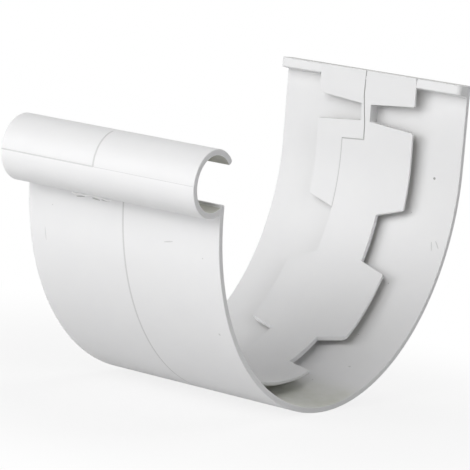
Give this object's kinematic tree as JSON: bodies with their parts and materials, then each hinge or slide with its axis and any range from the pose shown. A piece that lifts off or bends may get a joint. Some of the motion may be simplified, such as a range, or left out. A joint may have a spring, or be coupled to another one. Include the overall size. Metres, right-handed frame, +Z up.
{
  "type": "gutter union",
  "caption": "Half-round gutter union in moulded plastic: short open sleeve with a rolled front bead, a back flange and an inner strip of tapered tabs that traps the gutter ends.",
  "frame": {"origin": "middle of the base of the bounding box, under the lowest line of the half round", "axes": "+X along the gutter, towards the end that faces the camera in the picture; +Y from the front bead to the back flange; +Z up"},
  "size_m": [0.065, 0.1416, 0.0954],
  "materials": {
    "white_upvc": "satin white moulded PVC"
  },
  "bodies": {
    "root": {"gutter_union": "white_upvc"}
  },
  "joints": []
}
